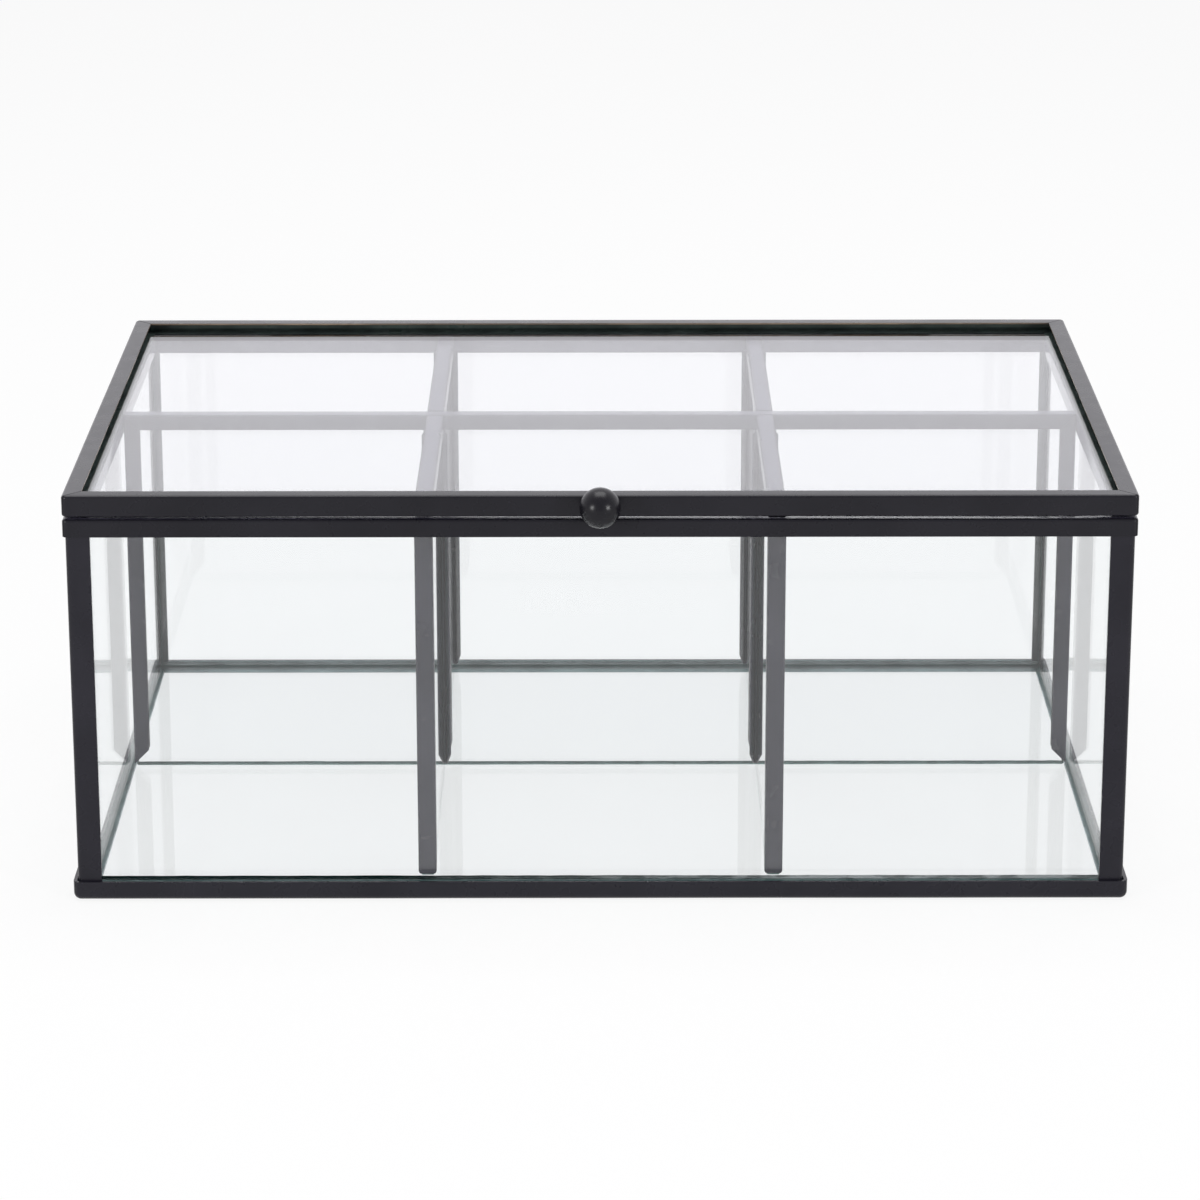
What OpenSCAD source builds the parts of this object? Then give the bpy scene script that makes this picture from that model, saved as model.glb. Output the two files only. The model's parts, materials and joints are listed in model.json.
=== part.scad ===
// Tea bag organizer: a glass box with six compartments in a folded black metal frame,
// closed by a hinged glass lid with a ball knob.
// Millimetres, +Z up, the knob side faces -Y, and the box stands on the plane z = 0.

/* [Box] */
// Width over the upper rim and the lid frame
box_w = 230; // [180:1:320]
// Depth over the upper rim and the lid frame
box_d = 160; // [130:1:240]
// Height from the table to the top of the closed lid frame
box_h = 92; // [60:1:140]

/* [Glass] */
// Thickness of the wall and divider panes
pane_t = 3; // [2:0.5:4]
// Thickness of the floor pane, which the walls stand on
floor_t = 3; // [2:0.5:3]
// Thickness of the lid pane
lid_pane_t = 2.5; // [2:0.5:3]
// Adhesive bed left between a pane and what holds it
bed = 0.1; // [0.05:0.05:0.2]

/* [Strips] */
// Sheet thickness of the lid rails, the upper rim and the divider channels
strip_t = 0.4; // [0.3:0.1:0.6]
// Outside radius of a fold in that sheet
fold_r = 0.6; // [0.6:0.1:1]
// Outside radius of the rim and lid frames at their corners, seen from above
corner_r = 1; // [0.5:0.1:1]

/* [Base frame] */
// Height of the base rail
base_h = 4.3; // [3.5:0.1:8]
// Width of the flange under the floor pane
base_flange = 5.5; // [5:0.5:12]
// Sheet thickness of the base rail
base_t = 0.8; // [0.6:0.1:1]
// How far the base rail stands out beyond the upper rim on each side
base_step = 0.5; // [0.3:0.1:1]
// Outside radius of the fold and of the corners of the base rail
base_r = 1.6; // [1.2:0.1:2]

/* [Corner posts] */
// Width of each leg of a corner post
post_leg = 5.3; // [4.5:0.1:9]
// Thickness of a corner post
post_t = 1; // [0.8:0.1:1.2]
// How far the posts stand back behind the faces of the upper rim
post_step = 0.5; // [0.5:0.1:0.8]
// Height of the foot of a post above the flange, clear of the fold
post_lift = 0.3; // [0.3:0.1:0.6]

/* [Upper rim] */
// Height of the rim channel
rim_h = 3.9; // [3:0.1:8]

/* [Lid] */
// Height of the lid rail
lid_rail_h = 4.7; // [4.7:0.1:8]
// Width of the rail leg on top of the glass
lid_leg_top = 4; // [3:0.1:8]
// Width of the rail leg under the glass
lid_leg_low = 5.2; // [4:0.1:9]
// Air gap between the closed lid and the rim
lid_gap = 0.6; // [0.6:0.1:2]
// Distance from the face of the lid frame to the edge of the lid pane
lid_pane_inset = 1.4; // [1.4:0.1:2]

/* [Dividers] */
// Distance of each cross divider from the middle of the box
cross_x = 38; // [28:0.5:50]
// Length of a channel leg along the glass
channel_leg = 3.5; // [3:0.1:6]
// Width over the free edges of the flared channels
flare_w = 6; // [5:0.1:8]
// Height of the channel ends above the floor pane
channel_lift = 0.6; // [0.5:0.1:3]
// How far the divider caps stand above the rim
divider_rise = 0.5; // [0:0.1:0.5]

/* [Hinges] */
// Distance of each hinge from the middle of the box
hinge_x = 70; // [40:1:80]
// Length of a hinge
hinge_len = 24; // [18:1:40]
// Diameter of the hinge pin
pin_d = 1.2; // [1:0.1:1.4]
// Outside diameter of the hinge knuckles
knuckle_d = 2.8; // [2.6:0.1:3]
// Running clearance between the pin and the lid knuckle, on the radius
pin_clear = 0.05; // [0.03:0.01:0.08]
// Thickness of the hinge leaves
leaf_t = 0.6; // [0.5:0.1:0.8]

/* [Knob] */
// Diameter of the ball
knob_d = 8.8; // [6:0.1:12]
// Height of its centre above the bottom of the lid rail
knob_rise = 3.2; // [2.4:0.1:3.2]
// Diameter of the rivet that holds it
rivet_d = 1.2; // [1:0.1:1.4]

/* [Hidden] */

$fn = 48;

METAL = "#1d1d20";
CLEAR = [0.75, 0.88, 0.87, 0.35];
RUBBER = [0.9, 0.92, 0.93, 0.6];

// The four sides of a frame, as quarter turns from the front
FRONT = 0;
RIGHT = 1;
BACK = 2;
LEFT = 3;

// Joining overlap, and the steps that each quarter bend is drawn with
eps = 0.01;
bend_steps = 5;

// Levels
flange_top = base_t;
floor_z = flange_top + bed;
floor_top = floor_z + floor_t;
wall_z = floor_top + bed;
lid_z = box_h - lid_rail_h;
rim_top = lid_z - lid_gap;
divider_top = rim_top + divider_rise;

// Half widths and half depths, measured from the middle of the box
half_w = box_w / 2;
half_d = box_d / 2;
pane_out_x = half_w - post_step - post_t - bed;
pane_out_y = half_d - post_step - post_t - bed;
pane_in_x = pane_out_x - pane_t;
pane_in_y = pane_out_y - pane_t;

// Widths of the folded channels
rim_w = half_w - pane_in_x + bed + strip_t;
channel_w = pane_t + 2 * (bed + strip_t);

// The long divider runs between the inner legs of the rim, and each cross divider is
// two halves, one before and one behind it
long_half = half_w - rim_w - bed;
cross_y0 = channel_w / 2 + bed;
cross_y1 = half_d - rim_w - bed;

// Hinge axis, behind the back of the frame and half way up the air gap
axis_y = half_d + knuckle_d / 2 + 0.4;
axis_z = rim_top + lid_gap / 2;
knuckle_gap = 0.3;
lid_knuckle = hinge_len / 3 - knuckle_gap;
leaf_clear = knuckle_d / 2 + 0.4;
leaf_low = rim_top - rim_h + 0.2;
leaf_high = box_h - 0.4;

// The ball is cut flat where it meets the rail
knob_sink = 0.15;
knob_z = lid_z + knob_rise;
knob_y = half_d + knob_d / 2 - knob_sink;
rivet_depth = 3;
rivet_head_d = 2;
rivet_head_t = 0.6;

bumper_d = 3;
bumper_h = lid_gap - 0.2;
bumper_in = 11;

// The origin is under the middle of the whole object, knob and hinges included
knob_reach = knob_d - knob_sink;
hinge_reach = axis_y + knuckle_d / 2 - half_d;
y_shift = (knob_reach - hinge_reach) / 2;

// Points on an arc of radius r about [x, y]
function arc(x, y, r, from, to) =
    [for (i = [0 : bend_steps])
        let (a = from + (to - from) * i / bend_steps) [x + r * cos(a), y + r * sin(a)]];

// Angle section: its outer corner at the origin, one leg along +X and one along +Y
function angle_section(leg_x, leg_y, t, r) = concat(
    arc(r, r, r, 180, 270), [[leg_x, 0], [leg_x, t]],
    arc(r, r, r - t, 270, 180), [[t, leg_y], [0, leg_y]]);

// Channel section: its web along +X from the origin, and legs up +Y at both ends
function channel_section(w, leg_a, leg_b, t, r) = concat(
    [[0, leg_a]], arc(r, r, r, 180, 270), arc(w - r, r, r, 270, 360),
    [[w, leg_b], [w - t, leg_b]],
    arc(w - r, r, r - t, 360, 270), arc(r, r, r - t, 270, 180), [[t, leg_a]]);

// Channel section whose legs lean outwards, with its web centred on the origin
function flared_section(w, mouth, leg, t) = [
    [-w / 2, 0], [w / 2, 0], [mouth / 2, leg], [mouth / 2 - t, leg],
    [w / 2 - t, t], [-w / 2 + t, t], [-mouth / 2 + t, leg], [-mouth / 2, leg]];

// Plan of one side of a frame: mitred ends and rounded outer corners
function mitre_plan(len, off, reach, r) = concat(
    [[-len / 2 + reach, -off + reach]],
    arc(-len / 2 + r, -off + r, r, 225, 270), arc(len / 2 - r, -off + r, r, 270, 315),
    [[len / 2 - reach, -off + reach]]);

// Everything is drawn about the middle of the box and then set over the origin
module set_down() translate([0, y_shift, 0]) children();

// Extrudes a section along X: its x becomes Y, and its y becomes Z
module along_x(len) {
    rotate([90, 0, 90]) translate([0, 0, -len / 2]) linear_extrude(len) children();
}

// Extrudes a section along Y: its x stays X, and its y becomes Z
module along_y(from, to) {
    translate([0, to, 0]) rotate([90, 0, 0]) linear_extrude(to - from) children();
}

// One side of a mitred frame, w by d over all. The child is its section, with x
// measured inwards from the outer face and y as height
module frame_side(side, w, d, reach, r) {
    across = side % 2 == 0;
    len = across ? w : d;
    off = (across ? d : w) / 2;
    rotate([0, 0, 90 * side]) intersection() {
        translate([0, -off, 0]) along_x(len) children();
        translate([0, 0, -eps]) linear_extrude(box_h + 1) polygon(mitre_plan(len, off, reach, r));
    }
}

module box_pane(x0, x1, y0, y1, z0, z1) {
    set_down() translate([x0, y0, z0]) cube([x1 - x0, y1 - y0, z1 - z0]);
}

// Base frame: an angle whose flange carries the panes
module base_rail(side) {
    w = box_w + 2 * base_step;
    d = box_d + 2 * base_step;
    color(METAL) set_down() frame_side(side, w, d, base_flange + 1, base_r)
        polygon(angle_section(base_flange, base_h, base_t, base_r));
}

// Corner post: an angle inside the base rail and the rim; sx and sy are +1 or -1
module corner_post(sx, sy) {
    out_x = half_w - post_step;
    out_y = half_d - post_step;
    low = flange_top + post_lift;
    color(METAL) set_down() mirror([sx > 0 ? 1 : 0, 0, 0]) mirror([0, sy > 0 ? 1 : 0, 0])
        translate([-out_x, -out_y, low])
            linear_extrude(rim_top - strip_t - bed - low)
                polygon(angle_section(post_leg, post_leg, post_t, post_t + 0.2));
}

// Upper rim: a channel folded over the top edges of the walls
module rim(side) {
    color(METAL) set_down() frame_side(side, box_w, box_d, rim_w + 1, corner_r)
        translate([rim_w, rim_top]) rotate(180)
            polygon(channel_section(rim_w, rim_h, rim_h, strip_t, fold_r));
}

module wall_pane_front_back(sy) {
    y = sy > 0 ? pane_in_y : -pane_out_y;
    color(CLEAR) box_pane(-pane_out_x, pane_out_x, y, y + pane_t,
        wall_z, rim_top - strip_t - bed);
}

module wall_pane_side(sx) {
    x = sx > 0 ? pane_in_x : -pane_out_x;
    y = pane_in_y - bed;
    color(CLEAR) box_pane(x, x + pane_t, -y, y, wall_z, rim_top - strip_t - bed);
}

// The floor pane lies on the flange, and the walls stand on its rim
module floor_pane() {
    color(CLEAR) box_pane(-pane_out_x, pane_out_x, -pane_out_y, pane_out_y, floor_z, floor_top);
}

module long_divider_pane() {
    x = long_half - strip_t - bed;
    color(CLEAR) box_pane(-x, x, -pane_t / 2, pane_t / 2,
        floor_top + bed, divider_top - strip_t - bed);
}

// Cap along the long divider, mitred at both ends to meet the end channels
module long_divider_cap() {
    color(METAL) set_down() intersection() {
        translate([0, channel_w / 2, divider_top]) mirror([0, 0, 1]) mirror([0, 1, 0])
            along_x(2 * long_half)
                polygon(channel_section(channel_w, channel_leg, channel_leg, strip_t, fold_r));
        along_y(-channel_w, channel_w) polygon([
            [-long_half, divider_top], [long_half, divider_top],
            [long_half - 2 * channel_leg, divider_top - 2 * channel_leg],
            [-long_half + 2 * channel_leg, divider_top - 2 * channel_leg]]);
    }
}

// Channel on an end of the long divider, cut at 45 degrees at its top and bottom
module long_divider_end(sx) {
    low = floor_top + channel_lift;
    color(METAL) set_down() mirror([sx > 0 ? 1 : 0, 0, 0]) intersection() {
        translate([-long_half, channel_w / 2, low]) rotate([0, 0, -90])
            linear_extrude(divider_top - low)
                polygon(channel_section(channel_w, channel_leg, channel_leg, strip_t, fold_r));
        along_y(-channel_w, channel_w) polygon([
            [-long_half, low], [-long_half + 2 * channel_leg, low + 2 * channel_leg],
            [-long_half + 2 * channel_leg, divider_top - 2 * channel_leg],
            [-long_half, divider_top]]);
    }
}

// Half of a cross divider; sx picks the divider and sy the front or back half
module cross_pane(sx, sy) {
    y0 = cross_y0 + strip_t + bed;
    y1 = cross_y1 - strip_t - bed;
    color(CLEAR) box_pane(sx * cross_x - pane_t / 2, sx * cross_x + pane_t / 2,
        sy > 0 ? y0 : -y1, sy > 0 ? y1 : -y0,
        floor_top + bed, divider_top - strip_t - bed);
}

module cross_cap(sx, sy) {
    color(METAL) set_down() mirror([0, sy > 0 ? 0 : 1, 0])
        translate([sx * cross_x - channel_w / 2, 0, divider_top]) mirror([0, 0, 1])
            along_y(cross_y0, cross_y1)
                polygon(channel_section(channel_w, channel_leg, channel_leg, strip_t, fold_r));
}

// Upright channel on the edge of a cross divider, with its web at y and its legs
// reaching towards dir; its foot is cut at 45 degrees and it ends under the cap
module cross_channel(sx, y, dir, flared) {
    low = floor_top + channel_lift;
    high = divider_top - channel_leg - bed;
    foot = low + channel_leg;
    color(METAL) set_down() translate([sx * cross_x, y, 0]) mirror([0, dir > 0 ? 0 : 1, 0])
        intersection() {
            translate([0, 0, low]) linear_extrude(high - low)
                if (flared) polygon(flared_section(channel_w, flare_w, channel_leg, strip_t));
                else translate([-channel_w / 2, 0])
                    polygon(channel_section(channel_w, channel_leg, channel_leg, strip_t, fold_r));
            rotate([90, 0, 90]) translate([0, 0, -flare_w]) linear_extrude(2 * flare_w)
                polygon([[0, low], [channel_leg + 1, foot + 1], [channel_leg + 1, high], [0, high]]);
        }
}

module x_cylinder(x0, x1, d) {
    translate([x0, axis_y, axis_z]) rotate([0, 90, 0]) cylinder(d = d, h = x1 - x0);
}

// Plate on the back of a frame, with the tab that joins it to its knuckle
module leaf_plate(x0, x1, z0, z1) {
    translate([x0, half_d, z0]) cube([x1 - x0, leaf_t, z1 - z0]);
}

// Leaf on the back rim, with the two outer knuckles that grip the pin
module hinge_leaf_box(sx) {
    inner = lid_knuckle / 2 + knuckle_gap;
    outer = hinge_len / 2;
    color(METAL) set_down() translate([sx * hinge_x, 0, 0]) difference() {
        union() {
            leaf_plate(-outer, outer, leaf_low, axis_z - leaf_clear);
            for (side = [-1, 1]) mirror([side > 0 ? 0 : 1, 0, 0]) {
                leaf_plate(inner, outer, axis_z - leaf_clear - eps, axis_z);
                x_cylinder(inner, outer, knuckle_d);
            }
        }
        x_cylinder(-outer - 1, outer + 1, pin_d);
    }
}

// Leaf on the back lid rail, with the middle knuckle that turns on the pin
module hinge_leaf_lid(sx) {
    inner = lid_knuckle / 2;
    outer = hinge_len / 2;
    color(METAL) set_down() translate([sx * hinge_x, 0, 0]) difference() {
        union() {
            leaf_plate(-outer, outer, axis_z + leaf_clear, leaf_high);
            leaf_plate(-inner, inner, axis_z, axis_z + leaf_clear + eps);
            x_cylinder(-inner, inner, knuckle_d);
        }
        x_cylinder(-outer - 1, outer + 1, pin_d + 2 * pin_clear);
    }
}

module hinge_pin(sx) {
    color("#55565a") set_down() translate([sx * hinge_x, 0, 0])
        x_cylinder(-hinge_len / 2, hinge_len / 2, pin_d);
}

// Clear pads on the side rims, near the front, that a closing lid comes down on
module rim_bumpers() {
    color(RUBBER) set_down() for (sx = [-1, 1])
        translate([sx * (half_w - rim_w / 2), -half_d + bumper_in, rim_top])
            cylinder(d = bumper_d, h = bumper_h);
}

// Lid frame: a channel lying on its side, open towards the glass
module lid_rail(side) {
    color(METAL) set_down() difference() {
        frame_side(side, box_w, box_d, lid_leg_low + 1, corner_r)
            translate([0, box_h]) rotate(-90)
                polygon(channel_section(lid_rail_h, lid_leg_top, lid_leg_low, strip_t, fold_r));
        if (side == FRONT)
            translate([0, -half_d - 1, knob_z]) rotate([-90, 0, 0])
                cylinder(d = rivet_d + 0.1, h = strip_t + 2);
    }
}

module lid_pane() {
    x = half_w - lid_pane_inset;
    y = half_d - lid_pane_inset;
    z = lid_z + strip_t + bed;
    color(CLEAR) box_pane(-x, x, -y, y, z, z + lid_pane_t);
}

// Ball knob, cut flat against the rail and bored for its rivet
module knob() {
    color(METAL) set_down() difference() {
        translate([0, -knob_y, knob_z]) sphere(d = knob_d, $fn = 96);
        translate([-knob_d, -half_d, knob_z - knob_d]) cube(2 * knob_d);
        translate([0, -half_d - rivet_depth, knob_z]) rotate([-90, 0, 0])
            cylinder(d = rivet_d, h = rivet_depth + 1);
    }
}

module knob_rivet() {
    color("#77787c") set_down() translate([0, -half_d - rivet_depth, knob_z]) rotate([-90, 0, 0]) {
        cylinder(d = rivet_d, h = rivet_depth + strip_t + eps);
        translate([0, 0, rivet_depth + strip_t]) cylinder(d = rivet_head_d, h = rivet_head_t);
    }
}

base_rail(FRONT);  // base_rail_front
base_rail(RIGHT);  // base_rail_right
base_rail(BACK);  // base_rail_back
base_rail(LEFT);  // base_rail_left
corner_post(-1, -1);  // corner_post_front_left
corner_post(1, -1);  // corner_post_front_right
corner_post(-1, 1);  // corner_post_back_left
corner_post(1, 1);  // corner_post_back_right
rim(FRONT);  // rim_front
rim(RIGHT);  // rim_right
rim(BACK);  // rim_back
rim(LEFT);  // rim_left
wall_pane_front_back(-1);  // wall_pane_front
wall_pane_front_back(1);  // wall_pane_back
wall_pane_side(-1);  // wall_pane_left
wall_pane_side(1);  // wall_pane_right
floor_pane();
long_divider_pane();
long_divider_cap();
long_divider_end(-1);  // long_divider_end_left
long_divider_end(1);  // long_divider_end_right
cross_pane(-1, -1);  // cross_pane_left_front
cross_pane(1, -1);  // cross_pane_right_front
cross_pane(-1, 1);  // cross_pane_left_back
cross_pane(1, 1);  // cross_pane_right_back
cross_cap(-1, -1);  // cross_cap_left_front
cross_cap(1, -1);  // cross_cap_right_front
cross_cap(-1, 1);  // cross_cap_left_back
cross_cap(1, 1);  // cross_cap_right_back
cross_channel(-1, -cross_y1, 1, false);  // channel_front_left
cross_channel(1, -cross_y1, 1, false);  // channel_front_right
cross_channel(-1, -cross_y0, -1, true);  // channel_mid_front_left
cross_channel(1, -cross_y0, -1, true);  // channel_mid_front_right
cross_channel(-1, cross_y0, 1, true);  // channel_mid_back_left
cross_channel(1, cross_y0, 1, true);  // channel_mid_back_right
cross_channel(-1, cross_y1, -1, true);  // channel_back_left
cross_channel(1, cross_y1, -1, true);  // channel_back_right
hinge_leaf_box(-1);  // hinge_leaf_box_left
hinge_leaf_box(1);  // hinge_leaf_box_right
hinge_pin(-1);  // hinge_pin_left
hinge_pin(1);  // hinge_pin_right
rim_bumpers();
lid_rail(FRONT);  // lid_rail_front
lid_rail(RIGHT);  // lid_rail_right
lid_rail(BACK);  // lid_rail_back
lid_rail(LEFT);  // lid_rail_left
lid_pane();
hinge_leaf_lid(-1);  // hinge_leaf_lid_left
hinge_leaf_lid(1);  // hinge_leaf_lid_right
knob();
knob_rivet();
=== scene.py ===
"""Looks of the tea bag organizer box: folded black strips with round bends, clear panes with
ground edges, a ball knob, and a white studio. Shapes are worked out in millimetres and become
metres when a mesh is made. X runs along the box, -Y is the knob side, and Z is up."""

import json
import math

import bmesh
import bpy
from mathutils import Matrix, Vector, noise

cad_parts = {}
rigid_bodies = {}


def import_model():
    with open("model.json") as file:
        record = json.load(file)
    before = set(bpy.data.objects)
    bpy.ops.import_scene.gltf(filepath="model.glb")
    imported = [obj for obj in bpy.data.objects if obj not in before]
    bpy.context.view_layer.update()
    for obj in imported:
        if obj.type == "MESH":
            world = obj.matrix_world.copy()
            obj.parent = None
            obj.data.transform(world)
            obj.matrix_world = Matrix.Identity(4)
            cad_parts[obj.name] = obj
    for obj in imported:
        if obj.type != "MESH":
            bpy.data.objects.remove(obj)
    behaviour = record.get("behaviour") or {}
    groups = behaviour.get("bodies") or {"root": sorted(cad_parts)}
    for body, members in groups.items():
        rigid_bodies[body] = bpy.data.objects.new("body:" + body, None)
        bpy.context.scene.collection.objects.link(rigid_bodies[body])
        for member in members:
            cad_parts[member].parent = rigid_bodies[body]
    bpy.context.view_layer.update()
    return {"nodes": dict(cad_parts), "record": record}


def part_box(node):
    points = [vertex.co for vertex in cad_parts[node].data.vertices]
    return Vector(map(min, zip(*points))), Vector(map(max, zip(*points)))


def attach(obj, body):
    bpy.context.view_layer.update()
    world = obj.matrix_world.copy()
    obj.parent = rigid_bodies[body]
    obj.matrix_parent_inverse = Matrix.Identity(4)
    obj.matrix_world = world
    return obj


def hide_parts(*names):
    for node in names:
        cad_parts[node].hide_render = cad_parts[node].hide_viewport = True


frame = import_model()

MM = 0.001

# Sheet metal, as the construction has it
STRIP_T = 0.4
FOLD_R = 0.6
BASE_T = 0.8
BASE_FLANGE = 5.5
BASE_R = 1.6
POST_T = 1.0
POST_R = 1.2
RIM_W = 5.1
RIM_CORNER_R = 1.0
LID_LEG_TOP = 4.0
LID_LEG_LOW = 5.2
CHANNEL_W = 4.0
CHANNEL_LEG = 3.5
FLARE_W = 6.0
KNOB_D = 8.8

# Inward lean of the front rim's top: its slope in the middle, how much the slope grows a
# millimetre to the right, and the X at which it has faded away, over so many millimetres
RIM_LEAN = 0.052
RIM_LEAN_GROWTH = 0.0005
RIM_LEAN_END = 112
RIM_LEAN_FADE = 12

# How finely the pieces are drawn
BEND_STEPS = 6
CORNER_STEPS = 6
UPRIGHT_STEPS = 18
LONG_CAP_STEPS = 44
STEP_LENGTH = 5.0
BALL_RINGS = 48
BALL_TURNS = 72
MITRE_GAP = 0.07
CORNER_LEAD = 0.5
EDGE_ROUND = 0.07
CAD_EDGE_ROUND = 0.12
EDGE_SEGMENTS = 2

# Angles in degrees from which an edge is shaded sharp, and rounded; welding in metres
SHADED_SHARP = 35
ROUNDED_SHARP = 40
WELD_DISTANCE = 0.00001

# Unevenness of the strips, with the first seed of each kind
WAVE = 0.035
WAVE_LENGTH = 38.0
SEED_STEPS = (7.3, 3.1, 1.7)
BASE_SEED = 1
RIM_SEED = 11
LID_SEED = 21
POST_SEED = 31
LONG_CAP_SEED = 41
LONG_END_SEED = 42
CROSS_CAP_SEEDS = {"left_front": 56, "right_front": 50, "left_back": 55, "right_back": 56}
UPRIGHT_SEED = 60

# Ground arris round a pane, and how unevenly it is cut
ARRIS = 0.3
CHIP = 0.16
CHIP_LENGTH = 5.0
CUT_STEP = 2.5

# A face looks along an axis above the first share of its normal, and across it below the
# second. A point nearer to a pane's face than the last, in millimetres, lies on it.
ALONG = 0.99
ACROSS = 0.1
ON_FACE = 0.01

# Camera, from the photographed edges of the frame
FRAME_PX = 1200
FOCAL_PX = 4362.1
SENSOR = 36.0
CAMERA_X = -0.33
CAMERA_BEFORE = 894.1
CAMERA_Z = 346.03
CAMERA_YAW = 0.018
CAMERA_PITCH = 17.23
CAMERA_ROLL = -0.059
CLIP_END = 50


def span(node):
    """Lowest and highest corner of a CAD node, in millimetres."""
    low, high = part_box(node)
    return low / MM, high / MM


HALF_W = span("rim_right")[1].x
FRONT_Y = span("rim_front")[0].y
BACK_Y = span("rim_back")[1].y
MIDDLE = Vector((0, (FRONT_Y + BACK_Y) / 2, 0))
HALF_D = (BACK_Y - FRONT_Y) / 2
BASE_STEP = span("base_rail_right")[1].x - HALF_W


# ---------------------------------------------------------------- meshes


def wave(point, seed):
    """Slight unevenness of a hand-folded strip, for a point in millimetres."""
    where = point / WAVE_LENGTH + Vector([seed * step for step in SEED_STEPS])
    return noise.noise_vector(where) * WAVE


def inside(point, low, high):
    """The point, moved into a box where it is outside."""
    return Vector(min(max(p, a), b) for p, a, b in zip(point, low, high))


def linked(name, data):
    """A new object in the scene."""
    obj = bpy.data.objects.new(name, data)
    bpy.context.scene.collection.objects.link(obj)
    return obj


def make(name, verts, faces, material, body):
    """A smooth-shaded object from millimetre points, with softly rounded sharp edges."""
    mesh = bpy.data.meshes.new(name)
    mesh.from_pydata([v * MM for v in verts], [], faces)
    tidy = bmesh.new()
    tidy.from_mesh(mesh)
    bmesh.ops.recalc_face_normals(tidy, faces=tidy.faces)
    tidy.to_mesh(mesh)
    tidy.free()
    mesh.polygons.foreach_set("use_smooth", [True] * len(mesh.polygons))
    mesh.set_sharp_from_angle(angle=math.radians(SHADED_SHARP))
    obj = linked(name, mesh)
    mesh.materials.append(material)
    soften(obj, EDGE_ROUND)
    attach(obj, body)
    return obj


def soften(obj, width):
    """Rounds the sharp edges of an object over so many millimetres."""
    bevel = obj.modifiers.new("edges", "BEVEL")
    bevel.width = width * MM
    bevel.segments = EDGE_SEGMENTS
    bevel.limit_method = "ANGLE"
    bevel.angle_limit = math.radians(ROUNDED_SHARP)
    bevel.harden_normals = True


def fold(path, t, r):
    """Closed section of a sheet of thickness t, folded along path with outside radius r.
    The path is the outer face, and the sheet lies on its left."""
    outer, inner = [], []
    for i, corner in enumerate(path):
        before = path[i] - path[i - 1] if i else path[1] - path[0]
        after = path[i + 1] - path[i] if i + 1 < len(path) else before
        before, after = before.normalized(), after.normalized()
        normal = Vector((-before.y, before.x))
        turn = math.atan2(before.cross(after), before.dot(after))
        if abs(turn) < 1e-6:
            outer.append(corner)
            inner.append(corner + normal * t)
            continue
        centre = corner - before * (r * math.tan(turn / 2)) + normal * r
        for k in range(BEND_STEPS + 1):
            ray = Matrix.Rotation(turn * k / BEND_STEPS, 2) @ -normal
            outer.append(centre + ray * r)
            inner.append(centre + ray * (r - t))
    return outer + inner[::-1]


def channel(w, leg_a, leg_b, mouth=None):
    """Section of a channel with its web along +X from the origin and its legs up +Y."""
    lean = ((mouth or w) - w) / 2
    path = [Vector((-lean, leg_a)), Vector((0, 0)), Vector((w, 0)), Vector((w + lean, leg_b))]
    return fold(path, STRIP_T, FOLD_R)


def sweep(name, section, track, material, body, seed, node):
    """A closed solid: each point of the section runs along its own track of points."""
    rows = [track(p) for p in section]
    n, m = len(rows), len(rows[0])
    low, high = span(node)
    verts = [inside(v + wave(v, seed), low, high) for row in rows for v in row]
    faces = [
        (i * m + k, i * m + k + 1, (i + 1) % n * m + k + 1, (i + 1) % n * m + k)
        for i in range(n)
        for k in range(m - 1)
    ]
    faces.append([i * m for i in range(n)])
    faces.append([i * m + m - 1 for i in reversed(range(n))])
    obj = make(name, verts, faces, material, body)
    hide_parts(node)
    return obj


def spaced(start, end, steps=None):
    """Points from start to end, about STEP_LENGTH apart."""
    steps = steps or max(1, round((end - start).length / STEP_LENGTH))
    return [start.lerp(end, k / steps) for k in range(steps + 1)]


# ---------------------------------------------------------------- frames

FRONT, RIGHT, BACK, LEFT = range(4)
SIDE_NAMES = ("front", "right", "back", "left")


def corner_fibre(half, inset, radius):
    """One fibre of a frame side near its end, as (along, inset): straight, then round the
    corner as far as the mitre."""
    bend = max(radius - inset, 0)
    run = CORNER_LEAD + bend * math.pi / 4
    start = half - max(inset, radius) - CORNER_LEAD
    points = []
    for i in range(CORNER_STEPS + 1):
        s = run * i / CORNER_STEPS
        if s <= CORNER_LEAD or not bend:
            points.append((start + s - MITRE_GAP, inset))
        else:
            angle = (s - CORNER_LEAD) / bend
            along = half - radius + bend * math.sin(angle)
            points.append((along - MITRE_GAP, radius - bend * math.cos(angle)))
    return points


def side_track(side, grow, radius):
    """Track of the section points of one side of a mitred frame. A section point is
    (inset from the outer face, height)."""
    half_w, half_d = HALF_W + grow, HALF_D + grow
    half, off = (half_w, half_d) if side in (FRONT, BACK) else (half_d, half_w)
    turn = Matrix.Rotation(math.radians(90 * side), 3, "Z")

    def track(point):
        inset, height = point
        end = corner_fibre(half, inset, radius)
        steps = round(2 * half / STEP_LENGTH)
        straight = spaced(Vector((-end[0][0], inset)), Vector(end[0]), steps)
        plan = [(-x, y) for x, y in reversed(end)] + [tuple(p) for p in straight[1:-1]] + end
        return [MIDDLE + turn @ Vector((x, y - off, height)) for x, y in plan]

    return track


def strip_faces(obj, points, first, last, material):
    """Gives a material to the swept faces between section points first and last."""
    obj.data.materials.append(material)
    per_row = (len(obj.data.polygons) - 2) // points
    for face in obj.data.polygons[first * per_row : last * per_row]:
        face.material_index = len(obj.data.materials) - 1


def web_face(obj, section, material):
    """Gives a material to the outer face of a channel's web."""
    strip_faces(obj, len(section), BEND_STEPS + 1, BEND_STEPS + 2, material)


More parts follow.
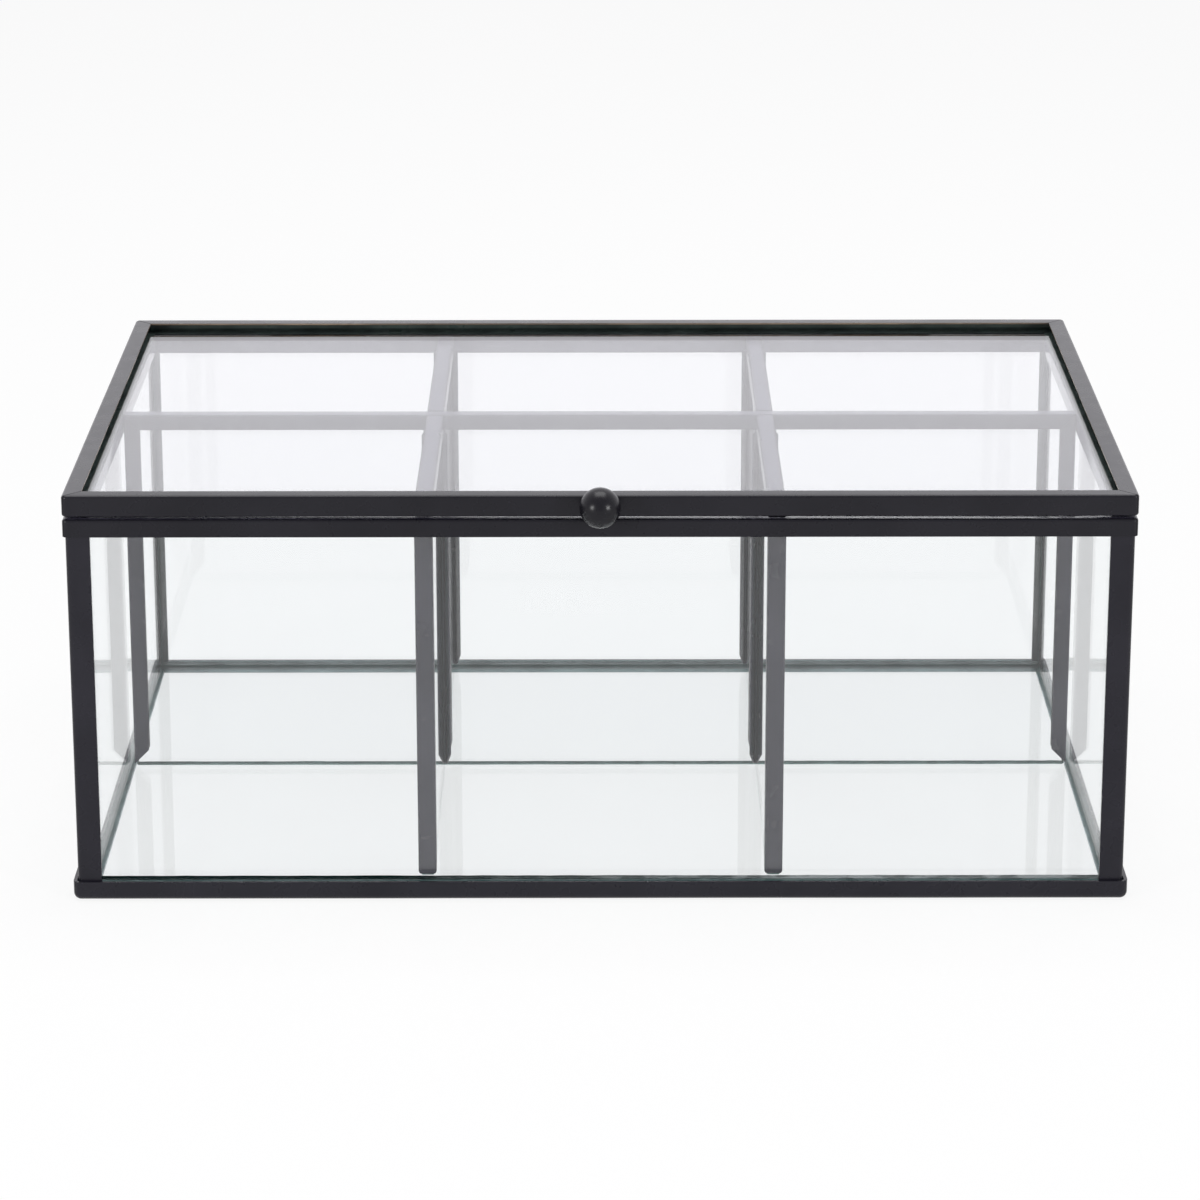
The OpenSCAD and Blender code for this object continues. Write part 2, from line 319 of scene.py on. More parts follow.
def base_rails(metal, glass_side):
    height = span("base_rail_front")[1].z
    path = [Vector((0, height)), Vector((0, 0)), Vector((BASE_FLANGE, 0))]
    section = fold(path, BASE_T, BASE_R)
    for side, word in enumerate(SIDE_NAMES):
        name = f"base_rail_{word}"
        track = side_track(side, BASE_STEP, BASE_R)
        obj = sweep(f"{name}_strip", section, track, metal, "box", BASE_SEED + side, name)
        strip_faces(obj, len(section), len(section) // 2 - 1, len(section) - 1, glass_side)


def leaning(track):
    """The track of the front rim: its top sinks slightly inwards, and more so towards the
    right, so that it mirrors more of what is behind the closed lid."""

    def leaned(point):
        points = []
        for at in track(point):
            fade = min(max((RIM_LEAN_END - abs(at.x)) / RIM_LEAN_FADE, 0), 1)
            slope = fade * (RIM_LEAN + RIM_LEAN_GROWTH * at.x)
            points.append(at - Vector((0, 0, slope * point.x)))
        return points

    return leaned


def rims(metal, top):
    low, high = span("rim_front")[0].z, span("rim_front")[1].z
    section = [
        Vector((RIM_W - x, high - y)) for x, y in channel(RIM_W, high - low, high - low)
    ]
    for side, word in enumerate(SIDE_NAMES):
        name = f"rim_{word}"
        track = side_track(side, 0, RIM_CORNER_R)
        if side == FRONT:
            track = leaning(track)
        obj = sweep(f"{name}_strip", section, track, metal, "box", RIM_SEED + side, name)
        # The rim's inner side and top get the painted sheen.
        strip_faces(obj, len(section), 0, BEND_STEPS + 2, top)


def lid_rails(metal, glass_side, edge_highlight):
    """The free edge of the top leg carries a painted highlight, and the inner faces a mottled dark
    grey-green.
    """
    low, high = span("lid_rail_front")[0].z, span("lid_rail_front")[1].z
    section = [
        Vector((y, high - x)) for x, y in channel(high - low, LID_LEG_TOP, LID_LEG_LOW)
    ]
    for side, word in enumerate(SIDE_NAMES):
        name = f"lid_rail_{word}"
        track = side_track(side, 0, RIM_CORNER_R)
        obj = sweep(f"{name}_strip", section, track, metal, "lid", LID_SEED + side, name)
        n = len(section)
        strip_faces(obj, n, n // 2, n - 1, glass_side)
        # The top leg's free edge gets the painted highlight.
        strip_faces(obj, n, n - 1, n, edge_highlight)


def corner_posts(metal, glass_side):
    for n, (word, sx, sy) in enumerate(corners()):
        name = f"corner_post_{word}"
        low, high = span(name)
        leg = high.x - low.x
        section = fold([Vector((0, leg)), Vector((0, 0)), Vector((leg, 0))], POST_T, POST_R)
        corner = Vector((low.x if sx < 0 else high.x, low.y if sy < 0 else high.y, 0))

        def track(p):
            at = corner + Vector((-sx * p.x, -sy * p.y, 0))
            foot, head = at + Vector((0, 0, low.z)), at + Vector((0, 0, high.z))
            return spaced(foot, head, UPRIGHT_STEPS)

        obj = sweep(f"{name}_strip", section, track, metal, "box", POST_SEED + n, name)
        strip_faces(obj, len(section), len(section) // 2, len(section) - 1, glass_side)


def corners():
    for sy, depth in ((-1, "front"), (1, "back")):
        for sx, hand in ((-1, "left"), (1, "right")):
            yield f"{depth}_{hand}", sx, sy


# ---------------------------------------------------------------- dividers


def long_divider(metal, top):
    """Cap along the long divider and its two end channels, mitred into one another."""
    low, high = span("long_divider_cap")
    cap = channel(CHANNEL_W, CHANNEL_LEG, CHANNEL_LEG)

    def cap_track(p):
        reach = high.x - p.y - MITRE_GAP
        y, z = low.y + p.x, high.z - p.y
        return spaced(Vector((-reach, y, z)), Vector((reach, y, z)), LONG_CAP_STEPS)

    name = "long_divider_cap"
    obj = sweep(f"{name}_strip", cap, cap_track, metal, "box", LONG_CAP_SEED, name)
    # The cap's top face gets the painted sheen.
    web_face(obj, cap, top)
    for sx, hand in ((-1, "left"), (1, "right")):
        name = f"long_divider_end_{hand}"
        foot, head = span(name)[0].z, span(name)[1].z
        web = sx * high.x

        def end_track(p):
            x, y = web - sx * p.y, low.y + p.x
            start, end = foot + p.y, head - p.y - MITRE_GAP
            return spaced(Vector((x, y, start)), Vector((x, y, end)), UPRIGHT_STEPS)

        sweep(f"{name}_strip", cap, end_track, metal, "box", LONG_END_SEED + sx, name)


def cross_caps(metal, top):
    section = channel(CHANNEL_W, CHANNEL_LEG, CHANNEL_LEG)
    for place, seed in CROSS_CAP_SEEDS.items():
        name = f"cross_cap_{place}"
        low, high = span(name)

        def track(p):
            x, z = low.x + p.x, high.z - p.y
            return spaced(Vector((x, low.y, z)), Vector((x, high.y, z)))

        obj = sweep(f"{name}_strip", section, track, metal, "box", seed, name)
        # The cap's top face gets the painted sheen.
        web_face(obj, section, top)


def cross_channels(metal):
    """Upright channels on the edges of the cross dividers, cut at 45 degrees at the foot."""
    kinds = (
        ("channel_front", 1, None),
        ("channel_mid_front", -1, FLARE_W),
        ("channel_mid_back", 1, FLARE_W),
        ("channel_back", -1, FLARE_W),
    )
    for n, (kind, facing, mouth) in enumerate(kinds):
        section = channel(CHANNEL_W, CHANNEL_LEG, CHANNEL_LEG, mouth)
        for hand in ("left", "right"):
            name = f"{kind}_{hand}"
            low, high = span(name)
            middle = (low.x + high.x) / 2
            web = low.y if facing > 0 else high.y

            def track(p):
                x, y = middle - CHANNEL_W / 2 + p.x, web + facing * p.y
                foot, head = Vector((x, y, low.z + p.y)), Vector((x, y, high.z))
                return spaced(foot, head, UPRIGHT_STEPS)

            sweep(f"{name}_strip", section, track, metal, "box", UPRIGHT_SEED + n, name)


# ---------------------------------------------------------------- glass


def cut_across(bm, thin, low, high):
    """Cuts the narrow faces of a pane into short lengths, so that they can be uneven."""
    for axis in range(3):
        if axis == thin:
            continue
        normal = Vector([float(k == axis) for k in range(3)])
        steps = round((high[axis] - low[axis]) / CUT_STEP)
        for k in range(1, steps):
            narrow = [f for f in bm.faces if abs(f.normal[thin]) < ALONG]
            faces = [f for f in narrow if abs(f.normal[axis]) < ACROSS]
            edges = {e for f in faces for e in f.edges}
            verts = {v for f in faces for v in f.verts}
            at = low + normal * ((high[axis] - low[axis]) * k / steps)
            bmesh.ops.bisect_plane(bm, geom=[*faces, *edges, *verts], plane_co=at, plane_no=normal)
    bm.normal_update()


def chip(bm, thin, low, high):
    """Moves the borders of the arris a little, each within its own plane."""
    for v in bm.verts:
        depth = [min(v.co[k] - low[k], high[k] - v.co[k]) for k in range(3)]
        near = [k for k in range(3) if k != thin and depth[k] < 2 * ARRIS]
        if len(near) != 1:
            continue
        move = near[0] if depth[thin] < ON_FACE else thin
        inwards = 1 if v.co[move] - low[move] < high[move] - v.co[move] else -1
        v.co[move] += inwards * CHIP * abs(noise.noise(v.co / CHIP_LENGTH))


def pane(node, body, clear, cut):
    """A pane with an uneven ground arris, its cut edges in a material of their own."""
    low, high = span(node)
    size = high - low
    thin = min(range(3), key=lambda k: size[k])
    bm = bmesh.new()
    bmesh.ops.create_cube(bm, size=1)
    for v in bm.verts:
        v.co = (low + high) / 2 + Vector(a * b for a, b in zip(v.co, size))
    bmesh.ops.bevel(bm, geom=bm.edges[:], offset=ARRIS, segments=1, affect="EDGES")
    bm.normal_update()
    cut_across(bm, thin, low, high)
    chip(bm, thin, low, high)
    bm.normal_update()
    for f in bm.faces:
        f.material_index = 0 if abs(f.normal[thin]) > ALONG else 1
    mesh = bpy.data.meshes.new(node + "_glass")
    for v in bm.verts:
        v.co *= MM
    bm.to_mesh(mesh)
    bm.free()
    obj = linked(node + "_glass", mesh)
    mesh.materials.append(clear)
    mesh.materials.append(cut)
    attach(obj, body)
    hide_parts(node)


def panes():
    """All panes. The camera meets the side walls and the floor at a slant, so theirs is the
    glass with less gloss."""
    glass = clear_glass("float_glass", CLEAR_TINT)
    soft_glass = clear_glass("soft_glass", CLEAR_TINT, SLANTED_MIRROR)
    lid_glass = clear_glass("lid_glass", LID_TINT)
    wall_cut = cut_edge("wall_cut", WALL_CUT_TONES)
    looks = {
        "lid_pane": (lid_glass, cut_edge("lid_cut", LID_CUT_TONES)),
        "wall_pane_front": (glass, cut_edge("front_cut", FRONT_CUT_TONES, fading=True)),
        "wall_pane_back": (glass, cut_edge("back_cut", BACK_CUT_TONES)),
        "wall_pane_left": (soft_glass, wall_cut),
        "wall_pane_right": (soft_glass, wall_cut),
    }
    inner_cut = cut_edge("inner_cut", INNER_CUT_TONES)
    looks["floor_pane"] = (soft_glass, inner_cut)
    for body, nodes in frame["record"]["behaviour"]["bodies"].items():
        for node in nodes:
            if "pane" in node:
                pane(node, body, *looks.get(node, (glass, inner_cut)))


# ---------------------------------------------------------------- knob and hinges


def knob(metal):
    """Ball turned from bar, cut flat where it meets the rail."""
    low, high = span("knob")
    centre = Vector(((low.x + high.x) / 2, low.y + KNOB_D / 2, (low.z + high.z) / 2))
    rings, turns, radius = BALL_RINGS, BALL_TURNS, KNOB_D / 2
    flat = math.acos(min(1, (high.y - centre.y) / radius))
    verts = [centre - Vector((0, radius, 0))]
    for i in range(1, rings + 1):
        a = math.pi - (math.pi - flat) * i / rings
        for k in range(turns):
            b = 2 * math.pi * k / turns
            ray = Vector((math.sin(a) * math.cos(b), math.cos(a), math.sin(a) * math.sin(b)))
            verts.append(centre + ray * radius)
    faces = [(0, 1 + k, 1 + (k + 1) % turns) for k in range(turns)]
    for i in range(rings - 1):
        a, b = 1 + i * turns, 1 + (i + 1) * turns
        for k in range(turns):
            faces.append((a + k, b + k, b + (k + 1) % turns, a + (k + 1) % turns))
    faces.append(list(range(1 + (rings - 1) * turns, 1 + rings * turns)))
    obj = make("knob_ball", verts, faces, metal, "lid")
    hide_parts("knob")


def dress(node, material):
    """A CAD node that stays: welded, with softened edges."""
    obj = frame["nodes"][node]
    obj.data.materials.clear()
    obj.data.materials.append(material)
    weld = obj.modifiers.new("weld", "WELD")
    weld.merge_threshold = WELD_DISTANCE
    soften(obj, CAD_EDGE_ROUND)


# ---------------------------------------------------------------- materials

# Where most of a noise lies
NOISE_LOW = 0.3
NOISE_HIGH = 0.7
RANGE_SOCKETS = ("From Min", "From Max", "To Min", "To Max")


def empty_material(name):
    mat = bpy.data.materials.new(name)
    mat.use_nodes = True
    mat.node_tree.nodes.clear()
    return mat, mat.node_tree.nodes.new("ShaderNodeOutputMaterial")


def new_material(name):
    mat, out = empty_material(name)
    shader = mat.node_tree.nodes.new("ShaderNodeBsdfPrincipled")
    mat.node_tree.links.new(shader.outputs["BSDF"], out.inputs["Surface"])
    return mat, shader, out


def feed(tree, socket, operand):
    """Sets a socket to a number, or links it to another socket."""
    if isinstance(operand, float):
        socket.default_value = operand
    else:
        tree.links.new(operand, socket)


def maths(tree, operation, first, second):
    """A Math node's result. Each operand is a socket or a number."""
    node = tree.nodes.new("ShaderNodeMath")
    node.operation = operation
    feed(tree, node.inputs[0], first)
    feed(tree, node.inputs[1], second)
    return node.outputs[0]


def ranged(tree, value, *ends):
    """value, from the first end to the second, spread over the third to the fourth."""
    node = tree.nodes.new("ShaderNodeMapRange")
    for name, end in zip(RANGE_SOCKETS, ends):
        node.inputs[name].default_value = end
    tree.links.new(value, node.inputs["Value"])
    return node.outputs["Result"]


def noise_node(mat, scale, detail=3.0):
    """Noise fixed to the object, at so many features a metre."""
    nodes, links = mat.node_tree.nodes, mat.node_tree.links
    place = nodes.new("ShaderNodeTexCoord")
    texture = nodes.new("ShaderNodeTexNoise")
    texture.inputs["Scale"].default_value = scale
    texture.inputs["Detail"].default_value = detail
    links.new(place.outputs["Object"], texture.inputs["Vector"])
    return texture.outputs["Fac"]


def mapped(mat, value, low, high):
    """A noise, or what has its range, spread over low to high."""
    return ranged(mat.node_tree, value, NOISE_LOW, NOISE_HIGH, low, high)


def blend_colours(mat, value, first, second):
    node = mat.node_tree.nodes.new("ShaderNodeMix")
    node.data_type = "RGBA"
    node.inputs["A"].default_value = (*first, 1)
    node.inputs["B"].default_value = (*second, 1)
    mat.node_tree.links.new(value, node.inputs["Factor"])
    return node.outputs["Result"]


def bump(mat, value, shader, distance):
    node = mat.node_tree.nodes.new("ShaderNodeBump")
    node.inputs["Distance"].default_value = distance
    node.inputs["Strength"].default_value = 1.0
    mat.node_tree.links.new(value, node.inputs["Height"])
    mat.node_tree.links.new(node.outputs["Normal"], shader.inputs["Normal"])


def speckled(name, features, tones, roughness):
    """A material whose colour and roughness follow one noise, and the noise."""
    mat, shader, _ = new_material(name)
    links = mat.node_tree.links
    value = noise_node(mat, *features)
    tone = blend_colours(mat, mapped(mat, value, 0, 1), *tones)
    links.new(tone, shader.inputs["Base Color"])
    links.new(mapped(mat, value, *roughness), shader.inputs["Roughness"])
    return mat, shader, value


COAT_DARK = (0.0066, 0.0062, 0.0096)
COAT_LIGHT = (0.0104, 0.0098, 0.0142)
COAT_PEEL = 2.5e-6
FINE_PEEL = 0.6e-6
COAT_PATCHES = 60.0
GLOSS_PATCHES = 220.0
GLOSS_SPREAD = 0.02
PEEL_GRAIN = (2400.0, 2.0)


def black_coat(name, roughness, level, lift=1.0, peel=COAT_PEEL):
    """Matt black powder coat on folded sheet: fine orange peel and slightly uneven gloss.
    lift scales the black: above 1 it makes paler copies, which are painted light, and below 1 a
    darker copy, which is painted shade."""
    mat, shader, _ = new_material(name)
    links = mat.node_tree.links
    dark, light = ([lift * c for c in tone] for tone in (COAT_DARK, COAT_LIGHT))
    patches = mapped(mat, noise_node(mat, COAT_PATCHES), 0, 1)
    links.new(blend_colours(mat, patches, dark, light), shader.inputs["Base Color"])
    low, high = roughness - GLOSS_SPREAD, roughness + GLOSS_SPREAD
    gloss = mapped(mat, noise_node(mat, GLOSS_PATCHES), low, high)
    links.new(gloss, shader.inputs["Roughness"])
    shader.inputs["Specular IOR Level"].default_value = level
    bump(mat, noise_node(mat, *PEEL_GRAIN), shader, peel)
    return mat


# Painted warm highlight along the free edge of the lid rails' top leg: patches, share, roughness
# and tones
EDGE_HIGHLIGHT_PATCHES = (45.0, 6.0)
EDGE_HIGHLIGHT_SHARE = (0.1, 1)
EDGE_HIGHLIGHT_ROUGHNESS = (0.5, 0.3)
EDGE_HIGHLIGHT_TONES = ((0.020, 0.018, 0.019), (0.30, 0.22, 0.15))
MOTTLE_FEATURES = (90.0, 5.0)
MOTTLE_ROUGHNESS = (0.5, 0.25)
MOTTLE_RELIEF = 0.00005
BASE_GLASS_SIDE_TONES = ((0.10, 0.18, 0.19), (0.28, 0.40, 0.42))
POST_GLASS_SIDE_TONES = ((0.045, 0.058, 0.064), (0.13, 0.155, 0.165))
LID_GLASS_SIDE_TONES = ((0.022, 0.030, 0.028), (0.085, 0.115, 0.105))


def painted_edge_highlight():
    """Cut edge of the sheet, with a painted warm highlight in patches."""
    mat, shader, _ = new_material("painted_edge_highlight")
    links = mat.node_tree.links
    highlit = mapped(mat, noise_node(mat, *EDGE_HIGHLIGHT_PATCHES), *EDGE_HIGHLIGHT_SHARE)
    links.new(blend_colours(mat, highlit, *EDGE_HIGHLIGHT_TONES), shader.inputs["Base Color"])
    links.new(mapped(mat, highlit, *EDGE_HIGHLIGHT_ROUGHNESS), shader.inputs["Roughness"])
    return mat


def glass_side_mottle(name, tones):
    """Mottled grey-green on the metal faces that lie against the glass."""
    mat, shader, mottle = speckled(name, MOTTLE_FEATURES, tones, MOTTLE_ROUGHNESS)
    bump(mat, mottle, shader, MOTTLE_RELIEF)
    return mat


GLASS_GREEN = (0.0, 0.72, 0.68)
GLASS_DENSITY = 2.4
GLASS_IOR = 1.52
CLEAR_TINT = (0.980, 0.982, 0.986)
# The lid's glass is tinted greyer than the other panes: painted shade over what is seen through
# the lid.
LID_TINT = (0.890, 0.887, 0.900)
SLANTED_MIRROR = 0.45
THROUGH = (0.9, 0.93, 0.92)
# Every pane's cut edge is the same ground glass. The tone pairs differ by painted light and shade:
# the lid's are darkest, painted shade inside its channel; the others are paler, painted light; and
# the front's pale end is a painted near-white glint.
FRONT_CUT_TONES = ((0.005, 0.030, 0.026), (0.94, 0.98, 0.97))
WALL_CUT_TONES = ((0.040, 0.095, 0.090), (0.26, 0.40, 0.385))
BACK_CUT_TONES = ((0.14, 0.18, 0.185), (0.39, 0.46, 0.47))
INNER_CUT_TONES = ((0.10, 0.23, 0.215), (0.37, 0.57, 0.54))
LID_CUT_TONES = ((0.012, 0.030, 0.026), (0.050, 0.085, 0.075))
# Between these X, in metres, the front cut edge's painted paleness grows from none to full.
CUT_DARK_X = -0.045
CUT_PALE_X = 0.040
CUT_FADE = (0.5, 1.2)
CUT_PATCHES = (160.0, 5.0)
CUT_GRAIN = 900.0
CUT_ROUGHNESS = (0.3, 0.6)
CUT_SPECULAR = 0.12
CUT_PITS = 1500.0
CUT_RELIEF = 0.00001


def across(mat):
    """0 at the left of the box, and 1 from a little right of its middle."""
    tree = mat.node_tree
    place = tree.nodes.new("ShaderNodeTexCoord")
    axes = tree.nodes.new("ShaderNodeSeparateXYZ")
    tree.links.new(place.outputs["Object"], axes.inputs[0])
    return ranged(tree, axes.outputs["X"], CUT_DARK_X, CUT_PALE_X, 0, 1)


def cut_edge(name, tones, fading=False):
    """Ground cut edge of float glass: deep green, with paler patches that are painted glints, and,
    if fading, a painted paleness that grows towards the right."""
    mat, shader, _ = new_material(name)
    links = mat.node_tree.links
    share = mapped(mat, noise_node(mat, *CUT_PATCHES), 0, 1)
    if fading:
        faded = mapped(mat, share, *CUT_FADE)
        share = maths(mat.node_tree, "MULTIPLY", faded, across(mat))
    links.new(blend_colours(mat, share, *tones), shader.inputs["Base Color"])
    grain = mapped(mat, noise_node(mat, CUT_GRAIN), *CUT_ROUGHNESS)
    links.new(grain, shader.inputs["Roughness"])
    shader.inputs["Specular IOR Level"].default_value = CUT_SPECULAR
    bump(mat, noise_node(mat, CUT_PITS), shader, CUT_RELIEF)
    return mat


def clear_glass(name, tint, mirror=1.0):
    """Float glass, with green in its depth. Lamps pass through it, a little dimmed. mirror
    is how much of its gloss it keeps."""
    mat, shader, out = new_material(name)
    nodes, links = mat.node_tree.nodes, mat.node_tree.links
    shader.inputs["Base Color"].default_value = (*tint, 1)
    shader.inputs["Roughness"].default_value = 0.0
    shader.inputs["Transmission Weight"].default_value = 1.0
    shader.inputs["IOR"].default_value = GLASS_IOR
    depth = nodes.new("ShaderNodeVolumeAbsorption")
    depth.inputs["Color"].default_value = (*GLASS_GREEN, 1)
    depth.inputs["Density"].default_value = GLASS_DENSITY
    links.new(depth.outputs["Volume"], out.inputs["Volume"])
    path = nodes.new("ShaderNodeLightPath")
    through = nodes.new("ShaderNodeBsdfTransparent")
    through.inputs["Color"].default_value = (*THROUGH, 1)
    surface = shader.outputs["BSDF"]
    if mirror < 1:
        surface = less_gloss(mat, shader, tint, mirror)
    pick = nodes.new("ShaderNodeMixShader")
    links.new(path.outputs["Is Shadow Ray"], pick.inputs["Fac"])
    links.new(surface, pick.inputs[1])
    links.new(through.outputs["BSDF"], pick.inputs[2])
    links.new(pick.outputs["Shader"], out.inputs["Surface"])
    return mat


def less_gloss(mat, shader, tint, mirror):
    """The glass shader mixed with one that bends light the same way and mirrors nothing."""
    nodes, links = mat.node_tree.nodes, mat.node_tree.links
    bend = nodes.new("ShaderNodeBsdfRefraction")
    bend.inputs["Color"].default_value = (*(math.sqrt(c) for c in tint), 1)
    bend.inputs["IOR"].default_value = GLASS_IOR
    bend.inputs["Roughness"].default_value = 0.0
    both = nodes.new("ShaderNodeMixShader")
    both.inputs["Fac"].default_value = mirror
    links.new(bend.outputs["BSDF"], both.inputs[1])
    links.new(shader.outputs["BSDF"], both.inputs[2])
    return both.outputs["Shader"]


STEEL_STREAKS = (1500.0, 3.0)
STEEL_TONES = ((0.36, 0.36, 0.37), (0.52, 0.52, 0.53))
STEEL_ROUGHNESS = (0.25, 0.45)
RUBBER_CLOUD = (700.0, 3.0)
RUBBER_TONES = ((0.86, 0.9, 0.9), (0.95, 0.97, 0.97))
RUBBER_ROUGHNESS = (0.2, 0.4)
RUBBER_CLEARNESS = 0.85
RUBBER_IOR = 1.41


def drawn_steel():
    mat, shader, _ = speckled("drawn_steel", STEEL_STREAKS, STEEL_TONES, STEEL_ROUGHNESS)
    shader.inputs["Metallic"].default_value = 1.0
    return mat


def clear_rubber():
    mat, shader, _ = speckled("clear_rubber", RUBBER_CLOUD, RUBBER_TONES, RUBBER_ROUGHNESS)
    shader.inputs["Transmission Weight"].default_value = RUBBER_CLEARNESS
    shader.inputs["IOR"].default_value = RUBBER_IOR
    return mat


# ---------------------------------------------------------------- studio

FLOOR_SIZE = 12.0
FLOOR_GLOW = 0.87
FLOOR_PAPER = (0.9, 0.9, 0.9)


def seen(tree):
    """1 for rays that show the background: from the camera, off gloss and through glass."""
    path = tree.nodes.new("ShaderNodeLightPath")
    total = path.outputs["Is Camera Ray"]
    for kind in ("Is Glossy Ray", "Is Transmission Ray"):
        total = maths(tree, "MAXIMUM", total, path.outputs[kind])
    return total, path


def floor():
    """White table: it glows for sight, and takes the object's shadow by its diffuse share."""
    mat, out = empty_material("white_table")
    nodes, links = mat.node_tree.nodes, mat.node_tree.links
    paper = nodes.new("ShaderNodeBsdfDiffuse")
    paper.inputs["Color"].default_value = (*FLOOR_PAPER, 1)
    glow = nodes.new("ShaderNodeEmission")
    glow.inputs["Color"].default_value = (1.0, 1.0, 1.0, 1)
    shown, _ = seen(mat.node_tree)
    share = maths(mat.node_tree, "MULTIPLY", shown, FLOOR_GLOW)
    pick = nodes.new("ShaderNodeMixShader")
    links.new(share, pick.inputs["Fac"])
    links.new(paper.outputs["BSDF"], pick.inputs[1])
    links.new(glow.outputs["Emission"], pick.inputs[2])
    links.new(pick.outputs["Shader"], out.inputs["Surface"])
    mesh = bpy.data.meshes.new("table")
    h = FLOOR_SIZE / 2
    mesh.from_pydata([(-h, -h, 0), (h, -h, 0), (h, h, 0), (-h, h, 0)], [], [(0, 1, 2, 3)])
    obj = linked("table", mesh)
    mesh.materials.append(mat)


WORLD_COLOUR = (1.0, 0.99, 1.03)
WORLD_DIFFUSE = 0.42
GLASS_GLOSS = 0.8
BACKDROP_GLOSS = 1.28
FRONT_GLOSS = 0.64
FRONT_END = -0.6
BACKDROP_END = 0.7
LID_GLOSS = 1.14
LID_DEPTH = 2.5


def mixed(tree, factor, first, second):
    """A number between two, each of them a socket or a number."""
    node = tree.nodes.new("ShaderNodeMix")
    for name, operand in (("Factor", factor), ("A", first), ("B", second)):
        feed(tree, node.inputs[name], operand)
    return node.outputs["Result"]


def world():
    """White all round for sight and in the glass. What the coat's soft gloss mirrors is
    brighter behind the box, where the backdrop is lit, than in front of it, and so is what
    the outermost pane mirrors."""
    sky = bpy.data.worlds.new("studio")
    bpy.context.scene.world = sky
    sky.use_nodes = True
    tree = sky.node_tree
    nodes, links = tree.nodes, tree.links
    nodes.clear()
    out = nodes.new("ShaderNodeOutputWorld")
    ground = nodes.new("ShaderNodeBackground")
    ground.inputs["Color"].default_value = (*WORLD_COLOUR, 1)
    place = nodes.new("ShaderNodeTexCoord")
    axes = nodes.new("ShaderNodeSeparateXYZ")
    links.new(place.outputs["Generated"], axes.inputs[0])
    ends = (FRONT_END, BACKDROP_END, FRONT_GLOSS, BACKDROP_GLOSS)
    ramp = ranged(tree, axes.outputs["Y"], *ends)
    ramp.node.interpolation_type = "SMOOTHSTEP"
    shown, path = seen(tree)
    sharp = path.outputs["Is Singular Ray"]
    level = mixed(tree, shown, WORLD_DIFFUSE, GLASS_GLOSS)
    soft = maths(tree, "SUBTRACT", path.outputs["Is Glossy Ray"], sharp)
    soft.node.use_clamp = True
    gloss = mixed(tree, soft, level, ramp)
    outermost = maths(tree, "LESS_THAN", path.outputs["Transmission Depth"], LID_DEPTH)
    pane_gloss = maths(tree, "MULTIPLY", outermost, sharp)
    gloss = mixed(tree, pane_gloss, gloss, LID_GLOSS)
    strength = mixed(tree, path.outputs["Is Camera Ray"], gloss, 1.0)
    links.new(strength, ground.inputs["Strength"])
    links.new(ground.outputs["Background"], out.inputs["Surface"])


def unlit_glass():
    """The panes, which mirror the white room but not the lamps themselves."""
    group = bpy.data.collections.new("unlit_glass")
    for obj in bpy.context.scene.objects:
        if obj.name.endswith("_glass"):
            group.objects.link(obj)
    for member in group.collection_objects:
        member.light_linking.link_state = "EXCLUDE"
    return group


# Each lamp's name, place, aim, size in metres and power in watts
LAMPS = (
    ("top_box", (0.0, 0.15, 1.25), (0, 0, 0.05), (0.9, 0.7), 9.0),
    ("left_lamp", (-1.07, -1.1, 0.42), (0, 0, 0.08), (0.35, 0.35), 8.5),
    ("right_lamp", (1.07, -1.1, 0.42), (0, 0, 0.08), (0.35, 0.35), 8.5),
)


def softbox(name, location, target, size, power, unlit):
    light = bpy.data.lights.new(name, "AREA")
    light.shape = "RECTANGLE"
    light.size, light.size_y = size
    light.energy = power
    obj = linked(name, light)
    obj.location = location
    aim = Vector(target) - Vector(location)
    obj.rotation_euler = aim.to_track_quat("-Z", "Y").to_euler()
    obj.light_linking.receiver_collection = unlit


def lamps():
    unlit = unlit_glass()
    for lamp in LAMPS:
        softbox(*lamp, unlit)


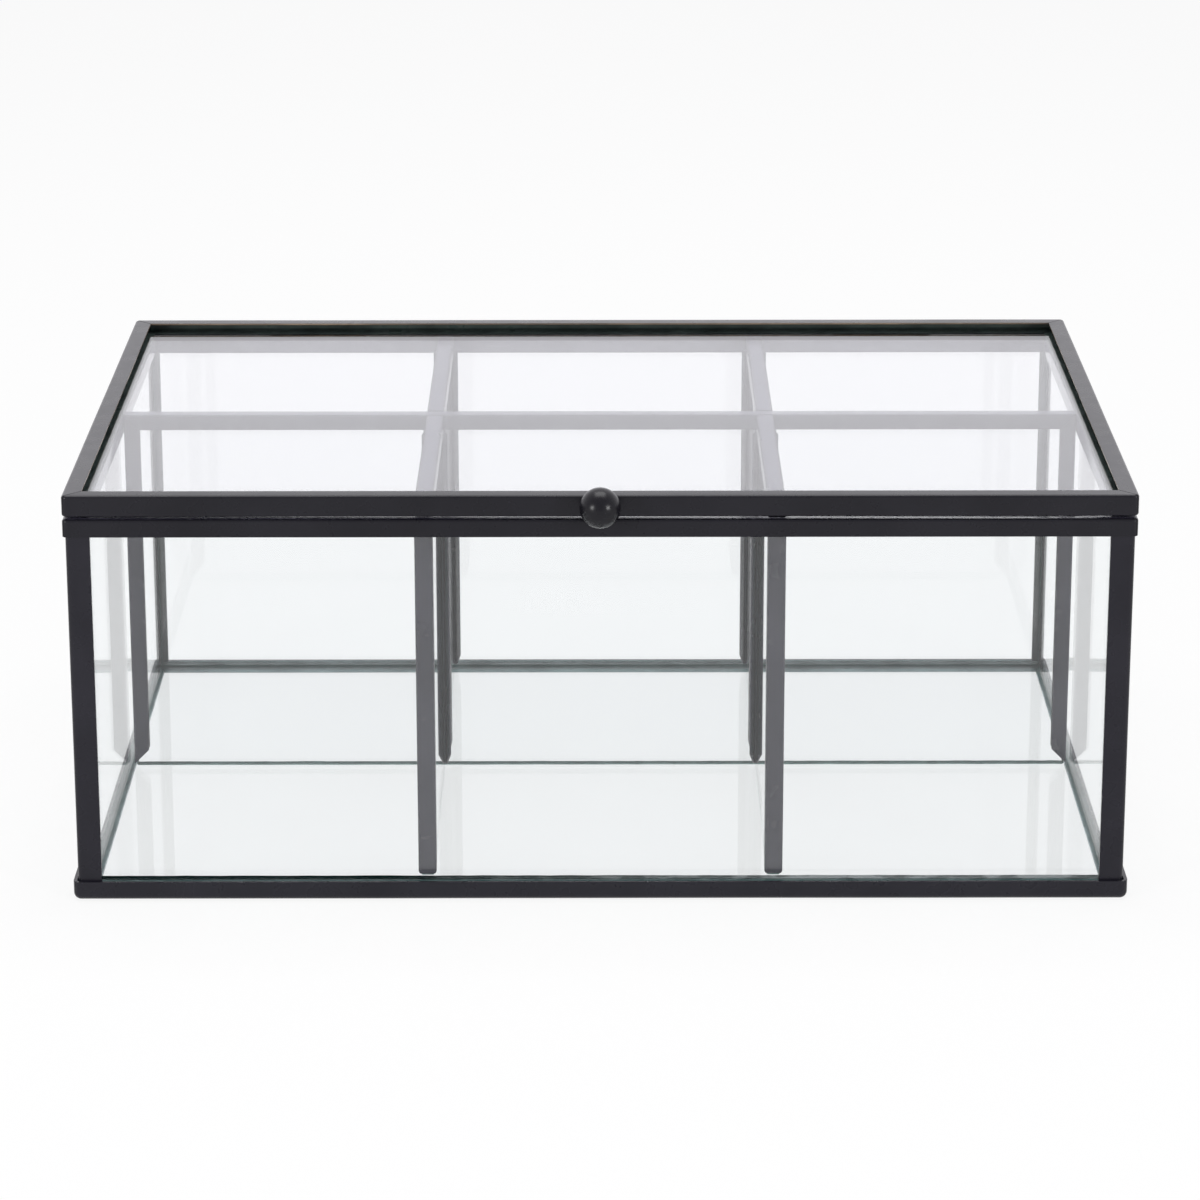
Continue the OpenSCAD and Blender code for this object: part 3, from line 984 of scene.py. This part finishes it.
def camera():
    yaw, pitch, roll = (math.radians(a) for a in (CAMERA_YAW, CAMERA_PITCH, CAMERA_ROLL))
    level = math.cos(pitch)
    ahead = Vector((math.sin(yaw) * level, math.cos(yaw) * level, -math.sin(pitch)))
    right = Vector((math.cos(yaw), -math.sin(yaw), 0))
    up = right.cross(ahead)
    right, up = (
        math.cos(roll) * right + math.sin(roll) * up,
        math.cos(roll) * up - math.sin(roll) * right,
    )
    data = bpy.data.cameras.new("camera")
    data.sensor_fit = "HORIZONTAL"
    data.sensor_width = SENSOR
    data.lens = FOCAL_PX * SENSOR / FRAME_PX
    data.clip_end = CLIP_END
    obj = linked("camera", data)
    place = Matrix((right, up, -ahead)).transposed().to_4x4()
    place.translation = Vector((CAMERA_X, FRONT_Y - CAMERA_BEFORE, CAMERA_Z)) * MM
    obj.matrix_world = place
    bpy.context.scene.camera = obj


# ---------------------------------------------------------------- the object

bpy.context.scene.view_settings.view_transform = "Standard"
coat = black_coat("black_coat", roughness=0.28, level=0.24)
# Paler copy of the coat on the base rails and corner posts: painted light.
painted_light_low_coat = black_coat("painted_light_low_coat", roughness=0.28, level=0.24, lift=1.5)
# Much paler, glossier copy of the coat on the dividers behind the glass: painted light.
painted_light_inner_coat = black_coat("painted_light_inner_coat", roughness=0.26, level=0.55, lift=4.0)
# Far paler, glossier copy of the coat on the rim tops and the divider caps' tops: painted sheen.
painted_sheen_coat = black_coat("painted_sheen_coat", roughness=0.12, level=1.0, lift=10.0, peel=FINE_PEEL)
# Darker copy of the coat on the knob ball: painted shade.
painted_shade_ball_coat = black_coat("painted_shade_ball_coat", roughness=0.27, level=0.24, lift=0.7)
steel = drawn_steel()

base_rails(painted_light_low_coat, glass_side_mottle("glass_side_mottle", BASE_GLASS_SIDE_TONES))
rims(coat, painted_sheen_coat)
lid_rails(coat, glass_side_mottle("lid_bed", LID_GLASS_SIDE_TONES), painted_edge_highlight())
corner_posts(painted_light_low_coat, glass_side_mottle("post_bed", POST_GLASS_SIDE_TONES))
long_divider(painted_light_inner_coat, painted_sheen_coat)
cross_caps(painted_light_inner_coat, painted_sheen_coat)
cross_channels(painted_light_inner_coat)
panes()
knob(painted_shade_ball_coat)
for hand in ("left", "right"):
    dress(f"hinge_leaf_box_{hand}", coat)
    dress(f"hinge_leaf_lid_{hand}", coat)
    dress(f"hinge_pin_{hand}", steel)
dress("knob_rivet", steel)
dress("rim_bumpers", clear_rubber())

floor()
world()
lamps()
camera()
